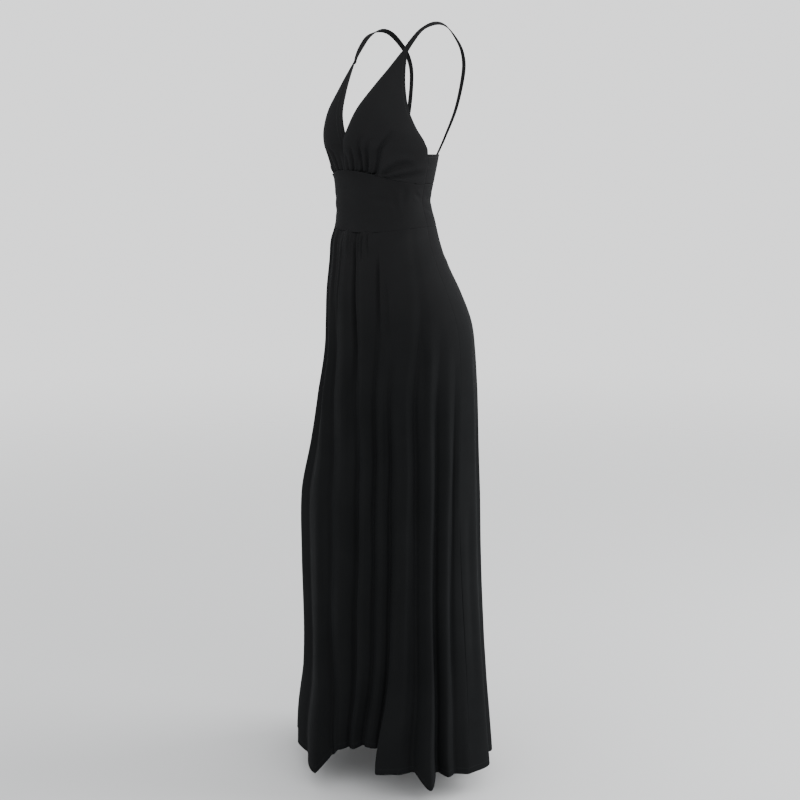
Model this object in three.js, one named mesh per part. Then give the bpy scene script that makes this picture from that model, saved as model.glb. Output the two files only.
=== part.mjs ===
// Maxi dress, worn size, in millimetres. X to the wearer's left, Y to the back, Z up.
// The origin lies between the undersides of the two straps where they cross the shoulders.
// Every piece is a thin closed wall: an outer face from the formulas below and an inner face one
// cloth thickness behind it.
import * as THREE from "three";

// Driving dimensions
const CLOTH = 1.5;
const SEAM_GAP = 0.3;
const SEAM_RADIUS = 80;
const STRAP_THICK = 2;
const STRAP_WIDE_FRONT = 14;
const STRAP_WIDE_BACK = 11;
const SIDE_SEAM = THREE.MathUtils.degToRad(100);
const UNDERBUST_FRONT = -268;
const UNDERBUST_SIDE = -293;
const WAIST_SIDE = -373;
const WAIST_DIP = 11;
const WAIST_DIP_AT = THREE.MathUtils.degToRad(15);
const BACK_TOP = -239;
const FOLD_TOP = -384;
const FOLD_FULL = -840;
const FLARE_TOP = -1088;
const FOLD_HEM = -1440;
const FLARE_POWER = 1.5;

// Cup dimensions as shares of its width or height: how far its curve swells between neck and
// armhole, the row from which it is drawn on to the underbust seam, and the gathers' half widths at
// foot and tip, how fast they fade upwards, and the plain strip beside centre front
const CUP_SWELL = 1.15;
const CUP_LOWER = 0.8;
const GATHER_FOOT = 0.024;
const GATHER_TIP = 0.05;
const GATHER_FADE = 0.4;
const GATHER_FREE = 0.05;

// Cloth colours by where the cloth lies
const BODICE_COLOUR = 0x1d1d1f;
const BACK_COLOUR = 0x1a1a1c;
const MIDRIFF_COLOUR = 0x171719;
const SKIRT_COLOUR = 0x18181a;
const STRAP_COLOUR = 0x1b1b1d;

// Grid steps: cups, bands and skirt across and down, straps along
const CUP_STEPS = [36, 16];
const FRONT_BAND_STEPS = [34, 6];
const BACK_BAND_STEPS = [26, 6];
const BACK_PANEL_STEPS = [26, 4];
const FRONT_FOLD_STEPS = [3, 18];
const BACK_FOLD_STEPS = [4, 18];
const STRAP_STEPS = 30;

// Trunk and skirt sections: height, half width, centre in Y, half depth
const SECTIONS = table("z half centre depth", [
  [-1470, 234, -32, 186],
  [-1440, 231, -32, 184],
  [-1375, 226, -33, 182],
  [-1290, 220, -31, 173],
  [-1200, 214, -32, 169],
  [-1030, 205, -37, 169],
  [-900, 199, -37.5, 168],
  [-803, 190, -28.5, 156],
  [-700, 181, -21, 146],
  [-620, 174, -17, 136],
  [-560, 168, -20, 131],
  [-502, 158, -32, 118],
  [-440, 141, -45, 100],
  [-404, 132, -51, 92],
  [-365, 122, -51, 83],
  [-326, 116, -56, 79],
  [-284, 122, -54, 84],
  [-243, 131, -56, 94],
  [-225, 135, -56, 98],
]);

// Left cup, from the strap down: neck edge point, armhole edge point, and the angles at which the
// cloth leaves the neck edge (forward of sideways) and meets the armhole (back of sideways)
const CUP = table("nx ny nz ax ay az leave meet", [
  [76, -65.5, -53, 90, -61, -58.5, 0, 30],
  [64.5, -88.5, -85, 96, -68, -87, 26, 48],
  [51, -108, -113, 103.5, -73, -117, 33, 62],
  [31, -132, -153, 115, -74, -156, 42, 78],
  [13.5, -142.5, -190, 125, -64, -190, 46, 90],
  [0, -145, -218, 132, -49, -217, 40, 92],
  [0, -144, -243, 131.5, -40, -241, 16, 96],
  [0, -141, -268, 121.5, -39.5, -293, 10, 96],
]);

// Gathers under the bust: place on the lower edge, half way up and at the tip, row of the tip, depth
const CUP_GATHERS = table("base mid tip row depth", [
  [0.05, 0.06, 0.085, 0.82, 3],
  [0.105, 0.155, 0.237, 0.77, 4.5],
  [0.185, 0.3, 0.407, 0.66, 5.5],
  [0.24, 0.37, 0.5, 0.69, 5.5],
  [0.3, 0.53, 0.72, 0.62, 6],
  [0.365, 0.45, 0.565, 0.86, 4],
]);

// Skirt folds, ridges (out) and troughs (in) round the front from the wearer's right: angles at
// five heights evenly spaced from waist to hem, the height where the fold starts, its offsets at the
// waist, when full and at the hem, and the hem's height
const FRONT_FOLDS = table("waist hip knee shin low start rise out hem edge", [
  [-100, -100, -100, -100, -99, -560, 0, -8, -10, -1425],
  [-88, -89, -90, -90, -89, -520, 0, 0, 6, -1432],
  [-78, -79, -80, -80, -79, -560, 0, -10, -16, -1422],
  [-66, -68, -70, -70, -67, -470, 0, 2, 35, -1428],
  [-57, -59, -61, -60, -57, -500, 0, -11, -4, -1420],
  [-46, -48, -50, -49.5, -47, -420, 0, 1, 6, -1432],
  [-38, -40.5, -40, -40, -38, -390, -2, -12, -14, -1428],
  [-32, -34, -31, -30, -29, -384, 1, 2, 2, -1438],
  [-26, -28, -20, -19, -17, -384, -2, -7, -6, -1440],
  [-20, -20, -1, -3, 7, -384, 1, 1, 24, -1442],
  [-11, -12, 7, 3.5, 9.2, -384, -2.5, -11, -16, -1412],
  [1.8, 4, 20, 14, 11.4, -384, 1.5, 0, -27, -1400],
  [12.8, 13, 28, 22, 14, -384, -4, -14, -43, -1397],
  [24.7, 22.5, 34.5, 29, 17.8, -384, 1.5, 0, -42, -1395],
  [37, 30.5, 39.5, 34.5, 21.8, -395, -1, -13, -58, -1389],
  [44, 36.5, 44.7, 40, 28, -400, 0, -4, -53, -1387],
  [50, 42.5, 50.2, 45, 33.8, -500, 0, -13, -54, -1386],
  [58, 48.5, 56, 51, 39, -500, 0, 1, -6, -1420],
  [69, 55, 61, 56, 51.5, -450, 0.5, 2, -11, -1417],
  [77, 62, 67.5, 64, 60.5, -430, -0.5, -12, -22, -1416],
  [84, 71.8, 76.5, 72.8, 70.5, -480, 0, 2, 12, -1439],
  [90, 79, 81.8, 77.8, 78.5, -520, 0, -11, -28, -1422],
  [94, 88, 89.5, 84, 83.5, -520, 0, 0, -6, -1425],
  [97, 94.5, 95.3, 90, 89.5, -560, 0, -8, -12, -1425],
  [100, 100, 100, 100, 99, -560, 0, -3, 0, -1428],
]);

// The same round the back, from the wearer's left side seam
const BACK_FOLDS = table("waist hip knee shin low start rise out hem edge", [
  [100, 100, 100, 100, 99, -560, 0, -3, 0, -1428],
  [116, 117, 117, 115.9, 116, -470, 0, 1, 9, -1429],
  [129, 128.6, 130, 129.8, 128, -520, 0, -8, -14, -1426],
  [142, 142.7, 142, 140.3, 140, -450, 0, -2, 2, -1433],
  [154, 153, 153, 152.6, 151, -500, 0, -12, -22, -1424],
  [165, 165.5, 164, 162.6, 163, -430, 0, 1, 10, -1438],
  [176, 175.1, 175, 175, 174, -480, 0, -12, -20, -1428],
  [187, 188.2, 188, 186.7, 187, -440, 0, 2, 12, -1440],
  [198, 199.4, 200, 198.9, 199, -510, 0, -10, -18, -1428],
  [211, 210.5, 212, 213.4, 213, -460, 0, 0, 8, -1436],
  [224, 225.1, 225, 224.8, 226, -530, 0, -11, -22, -1426],
  [238, 237.4, 238, 239.1, 239, -480, 0, 1, 12, -1436],
  [250, 250.1, 249, 249.5, 251, -520, 0, -9, -16, -1426],
  [260, 260, 260, 260, 261, -560, 0, -8, -10, -1425],
]);

// Left strap: centre line from cup to back, and the direction it faces
const STRAP = table("x y z nx ny nz", [
  [83.1, -63, -55.2, 0.4, -0.81, 0.44],
  [87, -49, -34, 0.3, -0.75, 0.6],
  [91, -28, -11, 0.15, -0.5, 0.85],
  [94, 0, 1, 0, 0, 1],
  [94, 25, -3, 0, 0.4, 0.9],
  [92, 50, -25, 0, 0.8, 0.55],
  [90, 66, -50, 0, 0.93, 0.35],
  [87, 71, -85, 0.05, 1, 0.05],
  [80, 60, -150, 0.15, 1, -0.2],
  [72, 40, -205, 0.3, 1, -0.3],
  [67, 26.2, -237.8, 0.35, 0.93, -0.3],
]);

function table(names, rows) {
  const keys = names.split(" ");
  return rows.map((row) => Object.fromEntries(keys.map((key, i) => [key, row[i]])));
}

const ease = (t) => {
  const u = THREE.MathUtils.clamp(t, 0, 1);
  return u * u * (3 - 2 * u);
};

const mix = THREE.MathUtils.lerp;

const rad = THREE.MathUtils.degToRad;

// Smooth reading of a column between row i and the next, u of the way
function between(rows, key, i, u) {
  const at = (k) => rows[THREE.MathUtils.clamp(k, 0, rows.length - 1)][key];
  const [p0, p1, p2, p3] = [at(i - 1), at(i), at(i + 1), at(i + 2)];
  const [m1, m2] = [(p2 - p0) / 2, (p3 - p1) / 2];
  const [u2, u3] = [u * u, u * u * u];
  return (2 * u3 - 3 * u2 + 1) * p1 + (u3 - 2 * u2 + u) * m1 + (3 * u2 - 2 * u3) * p2 + (u3 - u2) * m2;
}

// Reading of a table whose rows are evenly spaced along t = 0..1
function along(rows, key, t) {
  const f = THREE.MathUtils.clamp(t, 0, 1) * (rows.length - 1);
  const i = Math.min(Math.floor(f), rows.length - 2);
  return between(rows, key, i, f - i);
}

// Reading of the sections at height z
function section(key, z) {
  let i = 0;
  while (i < SECTIONS.length - 2 && SECTIONS[i + 1].z < z) {
    i += 1;
  }
  const u = (z - SECTIONS[i].z) / (SECTIONS[i + 1].z - SECTIONS[i].z);
  return between(SECTIONS, key, i, THREE.MathUtils.clamp(u, 0, 1));
}

// Point on the section at height z, angle from centre front towards the wearer's left, moved out
function ring(angle, z, out = 0) {
  const half = section("half", z);
  const depth = section("depth", z);
  const [s, c] = [Math.sin(angle), Math.cos(angle)];
  const slant = Math.hypot(s / half, c / depth);
  const x = half * s + (out * s) / half / slant;
  const y = section("centre", z) - depth * c - (out * c) / depth / slant;
  return new THREE.Vector3(x, y, z);
}

const underbust = (angle) => mix(UNDERBUST_SIDE, UNDERBUST_FRONT, Math.max(0, Math.cos(angle)) ** 2);

const waist = (angle) => WAIST_SIDE - WAIST_DIP * Math.max(0, Math.cos(angle - WAIST_DIP_AT)) ** 2;

// Direction of a line of points at its k-th point, true to the curve at the ends too
function slope(line, k) {
  const last = line.length - 1;
  if (k > 0 && k < last) {
    return new THREE.Vector3().subVectors(line[k + 1], line[k - 1]);
  }
  const way = k === 0 ? 1 : -1;
  return line[k].clone().multiplyScalar(-3 * way)
    .addScaledVector(line[k + way], 4 * way)
    .addScaledVector(line[k + 2 * way], -way);
}

// Closed wall on a grid of points: the outer face, the inner face behind it, and the rim. A level
// first or last row lies against a seam, so its inner face stays at the seam's height.
function wall(points, thick = CLOTH, level = [false, false]) {
  const [n, m] = [points.length, points[0].length];
  const inner = points.map((row, i) => row.map((p, j) => {
    const du = slope(row, j);
    const dv = slope(points.map((line) => line[j]), i);
    const face = new THREE.Vector3().crossVectors(dv, du);
    if ((i === 0 && level[0]) || (i === n - 1 && level[1])) {
      face.z = 0;
    }
    return face.normalize().multiplyScalar(-thick).add(p);
  }));
  const flat = [...points.flat(), ...inner.flat()];
  const index = [];
  const quad = (a, b, c, d) => {
    const short = flat[a].distanceTo(flat[c]) <= flat[b].distanceTo(flat[d]);
    index.push(...(short ? [a, b, c, a, c, d] : [a, b, d, b, c, d]));
  };
  const out = (i, j) => i * m + j;
  const back = (i, j) => n * m + i * m + j;
  for (let i = 0; i < n - 1; i += 1) {
    for (let j = 0; j < m - 1; j += 1) {
      quad(out(i + 1, j), out(i + 1, j + 1), out(i, j + 1), out(i, j));
      quad(back(i, j), back(i, j + 1), back(i + 1, j + 1), back(i + 1, j));
    }
    quad(out(i, 0), back(i, 0), back(i + 1, 0), out(i + 1, 0));
    quad(out(i + 1, m - 1), back(i + 1, m - 1), back(i, m - 1), out(i, m - 1));
  }
  for (let j = 0; j < m - 1; j += 1) {
    quad(out(0, j), out(0, j + 1), back(0, j + 1), back(0, j));
    quad(back(n - 1, j), back(n - 1, j + 1), out(n - 1, j + 1), out(n - 1, j));
  }
  const geometry = new THREE.BufferGeometry().setFromPoints(flat);
  geometry.setIndex(index);
  geometry.computeVertexNormals();
  return geometry;
}

// Grid of points from f(u, v), u across and v down
function grid(across, down, f) {
  const us = Array.from({ length: across + 1 }, (_, j) => j / across);
  const vs = Array.from({ length: down + 1 }, (_, i) => i / down);
  return vs.map((v) => us.map((u) => f(u, v)));
}

// Angle between the two side seams, half a seam gap short of each
function sweep(u, from, to) {
  const inset = SEAM_GAP / 2 / SEAM_RADIUS;
  return mix(from + inset, to - inset, u);
}

// Strip of the trunk between two angles and two edges whose height depends on the angle
function band(from, to, top, bottom, [across, down]) {
  return wall(grid(across, down, (u, v) => {
    const angle = sweep(u, from, to);
    return ring(angle, mix(top(angle) - SEAM_GAP / 2, bottom(angle) + SEAM_GAP / 2, v));
  }), CLOTH, [true, true]);
}

// Depth of the gathers at a place on the cup, none at the centre-front seam
function gathers(u, v) {
  let depth = 0;
  for (const g of CUP_GATHERS) {
    const t = (1 - v) / (1 - g.row);
    if (t < 1) {
      const line = g.base * (1 - t) * (1 - 2 * t) + g.mid * 4 * t * (1 - t) + g.tip * t * (2 * t - 1);
      const wide = mix(GATHER_FOOT, GATHER_TIP, t);
      const deep = g.depth * (1 - t * t) * (1 - GATHER_FADE * t);
      depth += deep * Math.exp(-(((u - line) / wide) ** 2));
    }
  }
  return depth * ease(u / GATHER_FREE);
}

// Left cup at u from the neck edge to the armhole and v from the strap to the underbust seam
function cup(u, v) {
  const at = (key) => along(CUP, key, v);
  const neck = new THREE.Vector3(Math.max(at("nx"), SEAM_GAP / 2), at("ny"), at("nz"));
  const arm = new THREE.Vector3(at("ax"), at("ay"), at("az"));
  const span = neck.distanceTo(arm) * CUP_SWELL;
  const leave = rad(at("leave"));
  const meet = rad(at("meet"));
  const [u2, u3] = [u * u, u * u * u];
  const p = new THREE.Vector3()
    .addScaledVector(neck, 2 * u3 - 3 * u2 + 1)
    .addScaledVector(new THREE.Vector3(Math.cos(leave), -Math.sin(leave), 0), (u3 - 2 * u2 + u) * span)
    .addScaledVector(arm, 3 * u2 - 2 * u3)
    .addScaledVector(new THREE.Vector3(Math.cos(meet), Math.sin(meet), 0), (u3 - u2) * span);
  const angle = mix(SEAM_GAP / 2 / SEAM_RADIUS, SIDE_SEAM - SEAM_GAP / 2 / SEAM_RADIUS, u);
  const seam = ring(angle, underbust(angle) + SEAM_GAP / 2);
  p.lerp(seam, ease((v - CUP_LOWER) / (1 - CUP_LOWER)));
  const inward = new THREE.Vector3(-Math.sin(angle), Math.cos(angle), 0);
  return p.addScaledVector(inward, gathers(u, v));
}

// Skirt point on the fold table: f is the place along the table, v runs from waist to hem
function skirtPoint(folds, f, v, gap) {
  const i = Math.min(Math.floor(f), folds.length - 2);
  const u = f - i;
  const blend = ease(u);
  const [a, b] = [folds[i], folds[i + 1]];
  const angles = ["waist", "hip", "knee", "shin", "low"].map((key) => ({ turn: mix(a[key], b[key], u) }));
  const top = waist(rad(angles[0].turn)) - SEAM_GAP / 2;
  const z = mix(top, mix(a.edge, b.edge, blend), v);
  const turn = along(angles, "turn", (FOLD_TOP - z) / (FOLD_TOP - FOLD_HEM));
  const fall = Math.max(FLARE_TOP - z, 0) / (FLARE_TOP - FOLD_HEM);
  const grow = (row) => {
    const g = ease((row.start - z) / (row.start - FOLD_FULL));
    return mix(row.rise, row.out, g) + (row.hem - row.out) * fall ** FLARE_POWER;
  };
  return ring(rad(turn) + gap, z, mix(grow(a), grow(b), blend));
}

// Skirt piece with every fold of a table, its side edges half a seam gap short
function skirt(folds, [step, down]) {
  const across = (folds.length - 1) * step;
  return wall(grid(across, down, (u, v) => {
    const gap = (u === 0 ? 1 : u === 1 ? -1 : 0) * (SEAM_GAP / 2 / SEAM_RADIUS);
    return skirtPoint(folds, u * (folds.length - 1), v, gap);
  }), CLOTH, [true, false]);
}

// Strap of one side: a flat band swept along its centre line
function strap(side) {
  const rings = [];
  const read = (keys, t) => new THREE.Vector3(...keys.map((key) => along(STRAP, key, t)));
  const point = (t) => read(["x", "y", "z"], t);
  const near = 0.3 / STRAP_STEPS;
  for (let i = 0; i <= STRAP_STEPS; i += 1) {
    const t = i / STRAP_STEPS;
    const p = point(t);
    const run = point(Math.min(t + near, 1)).sub(point(Math.max(t - near, 0))).normalize();
    const face = read(["nx", "ny", "nz"], t);
    face.addScaledVector(run, -face.dot(run)).normalize();
    const wide = new THREE.Vector3().crossVectors(run, face);
    const half = mix(STRAP_WIDE_FRONT, STRAP_WIDE_BACK, t) / 2;
    const thick = STRAP_THICK / 2;
    rings.push([[1, 1], [-1, 1], [-1, -1], [1, -1]].map(([w, k]) => p.clone()
      .addScaledVector(wide, w * half)
      .addScaledVector(face, k * thick)));
  }
  const index = [];
  for (let i = 0; i < STRAP_STEPS; i += 1) {
    for (let k = 0; k < 4; k += 1) {
      const [a, b] = [i * 4 + k, i * 4 + ((k + 1) % 4)];
      index.push(a, b + 4, b, a, a + 4, b + 4);
    }
  }
  const e = STRAP_STEPS * 4;
  index.push(0, 1, 2, 0, 2, 3, e, e + 2, e + 1, e, e + 3, e + 2);
  const geometry = new THREE.BufferGeometry().setFromPoints(rings.flat());
  geometry.setIndex(index);
  return side > 0 ? geometry : mirrored(geometry);
}

// The same piece for the wearer's right
function mirrored(geometry) {
  const copy = geometry.clone().scale(-1, 1, 1);
  const index = Array.from(copy.index.array);
  for (let i = 0; i < index.length; i += 3) {
    [index[i + 1], index[i + 2]] = [index[i + 2], index[i + 1]];
  }
  copy.setIndex(index);
  return copy;
}

function piece(name, geometry, colour) {
  geometry.computeVertexNormals();
  const material = new THREE.MeshStandardMaterial({ color: colour, roughness: 0.82, metalness: 0 });
  const mesh = new THREE.Mesh(geometry, material);
  mesh.name = name;
  return mesh;
}

const dress = new THREE.Group();
dress.name = "maxi_dress";
const leftCup = wall(grid(...CUP_STEPS, cup), CLOTH, [false, true]);
dress.add(piece("cup_left", leftCup, BODICE_COLOUR));
dress.add(piece("cup_right", mirrored(leftCup), BODICE_COLOUR));

const [left, right] = [SIDE_SEAM, 2 * Math.PI - SIDE_SEAM];
const backPanel = band(left, right, () => BACK_TOP, underbust, BACK_PANEL_STEPS);
const frontBand = band(-left, left, underbust, waist, FRONT_BAND_STEPS);
const backBand = band(left, right, underbust, waist, BACK_BAND_STEPS);
dress.add(piece("bodice_back", backPanel, BACK_COLOUR));
dress.add(piece("midriff_front", frontBand, MIDRIFF_COLOUR));
dress.add(piece("midriff_back", backBand, MIDRIFF_COLOUR));

dress.add(piece("skirt_front", skirt(FRONT_FOLDS, FRONT_FOLD_STEPS), SKIRT_COLOUR));
dress.add(piece("skirt_back", skirt(BACK_FOLDS, BACK_FOLD_STEPS), SKIRT_COLOUR));

dress.add(piece("strap_left", strap(1), STRAP_COLOUR));
dress.add(piece("strap_right", strap(-1), STRAP_COLOUR));

export default dress;
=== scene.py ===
"""A black maxi dress, worn form, with its cloth, seams and folds, on a plain pale floor."""
import math

import bpy
import numpy as np
from mathutils import Matrix, Vector


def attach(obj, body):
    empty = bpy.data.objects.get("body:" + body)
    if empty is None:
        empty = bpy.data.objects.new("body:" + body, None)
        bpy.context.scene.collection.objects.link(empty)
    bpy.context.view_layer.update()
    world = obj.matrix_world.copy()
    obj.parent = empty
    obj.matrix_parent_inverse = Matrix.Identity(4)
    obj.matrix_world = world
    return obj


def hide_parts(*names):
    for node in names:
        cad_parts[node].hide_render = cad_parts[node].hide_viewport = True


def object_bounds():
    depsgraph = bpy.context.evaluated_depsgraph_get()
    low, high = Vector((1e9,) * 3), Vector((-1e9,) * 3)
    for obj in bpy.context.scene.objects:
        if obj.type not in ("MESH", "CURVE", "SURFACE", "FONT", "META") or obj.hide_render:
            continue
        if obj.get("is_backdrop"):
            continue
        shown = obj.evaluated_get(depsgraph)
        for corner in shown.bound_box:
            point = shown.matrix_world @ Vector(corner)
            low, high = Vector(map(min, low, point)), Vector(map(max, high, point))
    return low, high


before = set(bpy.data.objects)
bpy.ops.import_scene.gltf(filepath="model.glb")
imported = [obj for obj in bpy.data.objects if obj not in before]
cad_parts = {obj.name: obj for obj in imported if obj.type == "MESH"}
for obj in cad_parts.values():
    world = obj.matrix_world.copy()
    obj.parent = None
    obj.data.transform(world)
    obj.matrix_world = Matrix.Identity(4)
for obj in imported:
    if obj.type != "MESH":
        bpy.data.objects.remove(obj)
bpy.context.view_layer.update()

bl_info = {
    "name": "Maxi dress",
    "version": (1, 0, 0),
    "blender": (4, 5, 0),
    "location": "View3D > Sidebar > Dress",
    "description": "Builds a floor-length dress with gathered cups, a fitted midriff and a flared skirt",
    "category": "Add Mesh",
}

# Sizes in this part of the file are in millimetres and angles in degrees, as the pattern gives them.
# An angle is measured round the body from centre front towards the wearer's left.
SEAM_GAP = 0.3
SIDE_SEAM = 100.0
UNDERBUST_FRONT = -268.0
UNDERBUST_SIDE = -293.0
WAIST_SIDE = -373.0
WAIST_DIP = 11.0
BACK_TOP = -239.0
FOLD_TOP = -384.0
FOLD_FULL = -840.0
FLARE_TOP = -1088.0
FOLD_HEM = -1440.0
FLARE_POWER = 1.5
SEAM_RADIUS = 80.0
TRUNK_RADIUS = 105.0
SKIRT_RADIUS = 170.0

# Cups: their size along a row and down the rows, how full their curves are, the rows at which the neck
# edge becomes the centre-front seam and the armhole edge the side seam, the row from which the cloth is
# drawn on to the seam under the bust, and over how much of a row the gathers fade at centre front
CUP_WIDE = 215.0
CUP_TALL = 215.0
CUP_SWELL = 1.15
CENTRE_ROW = 0.72
SIDE_ROW = 0.86
CUP_LOWER = 0.8
GATHER_FREE = 0.05

# How far each cup laps over the middle at centre front, and over which rows that grows
CENTRE_LAP = 1.2
LAP_FROM = 0.69
LAP_RUN = 0.04

# How far hidden edges run in and on behind the neighbouring piece, so that no light passes between them
TUCK_IN = 1.6
TUCK_ON = 3.0

# Creases along the skirt's troughs: how deep a trough has one, its depth as a share of the trough's, its
# width as a share of the step to the next ridge, how far below the start of the fold it begins, and
# over how much more it grows
VALLEY_FROM = -3.5
VALLEY_SHARE = 0.28
VALLEY_WIDE = 0.17
VALLEY_DROP = 40.0
VALLEY_GROW = 280.0

# Edges: over this much cloth a free edge turns in, and over this much a sewn one. FAR is added to a
# distance from an edge that isn't of the kind asked for, and MM turns metres into millimetres
EDGE_BEND = 1.6
SEAM_BEND = 2.6
FAR = 1000.0
MM = 1000.0

# Straps: powers of the cosine and the sine that round their section, and the share of the length over
# which they close at each end
STRAP_SIDES = 0.35
STRAP_FACES = 0.8
STRAP_CLOSE = 0.004

# Stage: the camera's azimuth and pitch in degrees, and in metres its distance, its height and how far
# it stands to the left
AZIMUTH = 56.0
PITCH = 9.6
CAMERA_AWAY = 2.8
CAMERA_HIGH = -0.2485
CAMERA_LEFT = 0.013


def table(names, rows):
    """A short table as a dictionary of named columns."""
    return dict(zip(names.split(), np.array(rows, float).T))


# Column names that several tables share
GATHERS = "base mid tip row depth wide"
SWEEPS = "from_across to_across down mid_down end_down wide deep"
FOLDS = "waist hip knee shin low start rise out hem edge"
CREASES = "from_angle from_z to_angle to_z wide deep"


# Trunk and skirt sections: height, half width, centre in Y, half depth
SECTIONS = table("z half centre depth", [
    (-1470, 234, -32, 186),
    (-1440, 231, -32, 184),
    (-1375, 226, -33, 182),
    (-1290, 220, -31, 173),
    (-1200, 214, -32, 169),
    (-1030, 205, -37, 169),
    (-900, 199, -37.5, 168),
    (-803, 190, -28.5, 156),
    (-700, 181, -21, 146),
    (-620, 174, -17, 136),
    (-560, 168, -20, 131),
    (-502, 158, -32, 118),
    (-440, 141, -45, 100),
    (-404, 132, -51, 92),
    (-365, 122, -51, 83),
    (-326, 116, -56, 79),
    (-284, 122, -54, 84),
    (-243, 131, -56, 94),
    (-225, 135, -56, 98),
])

# Cup rows from the strap down: neck edge point, armhole edge point, and the angles at which the
# cloth leaves the neck edge and meets the armhole
CUP = table("nx ny nz ax ay az leave meet", [
    (76, -65.5, -53, 90, -61, -58.5, 0, 30),
    (64.5, -88.5, -85, 96, -68, -87, 26, 48),
    (51, -108, -113, 103.5, -73, -117, 33, 62),
    (31, -132, -153, 115, -74, -156, 42, 78),
    (13.5, -142.5, -190, 125, -64, -190, 46, 90),
    (0, -145, -218, 132, -49, -217, 40, 92),
    (0, -144, -243, 131.5, -40, -241, 16, 96),
    (0, -141, -268, 121.5, -39.5, -293, 10, 96),
])

# Gathers under the bust: place along the row on the lower edge, half way up and at the tip, row of the
# tip, depth, and width as a share of the row
LEFT_GATHERS = table(GATHERS, [
    (0.05, 0.06, 0.085, 0.8, 4.3, 0.014),
    (0.105, 0.155, 0.237, 0.75, 6.8, 0.014),
    (0.145, 0.2, 0.29, 0.82, 4.1, 0.012),
    (0.185, 0.3, 0.407, 0.64, 8.1, 0.015),
    (0.21, 0.28, 0.36, 0.84, 4.3, 0.011),
    (0.24, 0.37, 0.5, 0.67, 8.1, 0.015),
    (0.27, 0.37, 0.48, 0.81, 4.6, 0.012),
    (0.3, 0.53, 0.72, 0.6, 8.8, 0.018),
    (0.335, 0.4, 0.47, 0.88, 4.1, 0.012),
    (0.41, 0.47, 0.55, 0.93, 3.2, 0.012),
    (0.45, 0.52, 0.62, 0.93, 3, 0.013),
])

RIGHT_GATHERS = table(GATHERS, [
    (0.045, 0.055, 0.08, 0.8, 4.1, 0.014),
    (0.1, 0.15, 0.225, 0.75, 6.8, 0.015),
    (0.14, 0.195, 0.28, 0.85, 4.3, 0.012),
    (0.18, 0.29, 0.395, 0.68, 7.6, 0.015),
    (0.205, 0.27, 0.35, 0.84, 4.1, 0.011),
    (0.245, 0.38, 0.51, 0.67, 8.1, 0.015),
    (0.28, 0.38, 0.49, 0.85, 4.3, 0.012),
    (0.305, 0.52, 0.7, 0.64, 8.4, 0.016),
    (0.34, 0.41, 0.48, 0.89, 4.1, 0.012),
    (0.415, 0.48, 0.56, 0.92, 3.5, 0.012),
    (0.46, 0.53, 0.63, 0.925, 3.2, 0.012),
])

# Folds that sweep from the gathers to the armhole side: one line of places down the cup at the start, the
# middle and the end, and their widths and depths
LEFT_SWEEPS = table(SWEEPS, [
    (0.41, 0.88, 0.955, 0.88, 0.882, 2.5, 5.6),
    (0.5, 1.03, 0.945, 0.911, 0.9, 2.3, 4.8),
])
RIGHT_SWEEPS = table(SWEEPS, [
    (0.42, 0.86, 0.952, 0.884, 0.888, 2.5, 5.2),
    (0.52, 1.03, 0.947, 0.916, 0.904, 2.3, 4.4),
])

# Skirt folds, ridges (out) and troughs (in) round the front from the wearer's right: angles at
# five heights evenly spaced from waist to hem, the height where the fold starts, its offsets at the
# waist, when full and at the hem, and the hem's height
FRONT_FOLDS = table(FOLDS, [
    (-100, -100, -100, -100, -99, -560, 0, -8, -10, -1425),
    (-88, -89, -90, -90, -89, -520, 0, 0, 6, -1432),
    (-78, -79, -80, -80, -79, -560, 0, -10, -16, -1422),
    (-66, -68, -70, -70, -67, -470, 0, 2, 35, -1428),
    (-57, -59, -61, -60, -57, -500, 0, -11, -4, -1420),
    (-46, -48, -50, -49.5, -47, -420, 0, 1, 6, -1432),
    (-38, -40.5, -40, -40, -38, -390, -2, -12, -14, -1428),
    (-32, -34, -31, -30, -29, -384, 1, 2, 2, -1438),
    (-26, -28, -20, -19, -17, -384, -2, -7, -6, -1440),
    (-20, -20, -1, -3, 7, -384, 1, 1, 24, -1442),
    (-11, -12, 7, 3.5, 9.2, -384, -2.5, -11, -16, -1412),
    (1.8, 4, 20, 14, 11.4, -384, 1.5, 0, -27, -1400),
    (12.8, 13, 28, 22, 14, -384, -4, -14, -43, -1397),
    (24.7, 22.5, 34.5, 29, 17.8, -384, 1.5, 0, -42, -1395),
    (37, 30.5, 39.5, 34.5, 21.8, -395, -1, -13, -58, -1389),
    (44, 36.5, 44.7, 40, 28, -400, 0, -4, -53, -1387),
    (50, 42.5, 50.2, 45, 33.8, -500, 0, -13, -54, -1386),
    (58, 48.5, 56, 51, 39, -500, 0, 1, -6, -1420),
    (69, 55, 61, 56, 51.5, -450, 0.5, 2, -11, -1417),
    (77, 62, 67.5, 64, 60.5, -430, -0.5, -12, -22, -1416),
    (84, 71.8, 76.5, 72.8, 70.5, -480, 0, 2, 12, -1439),
    (90, 79, 81.8, 77.8, 78.5, -520, 0, -11, -28, -1422),
    (94, 88, 89.5, 84, 83.5, -520, 0, 0, -6, -1425),
    (97, 94.5, 95.3, 90, 89.5, -560, 0, -8, -12, -1425),
    (100, 100, 100, 100, 99, -560, 0, -3, 0, -1428),
])

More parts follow.
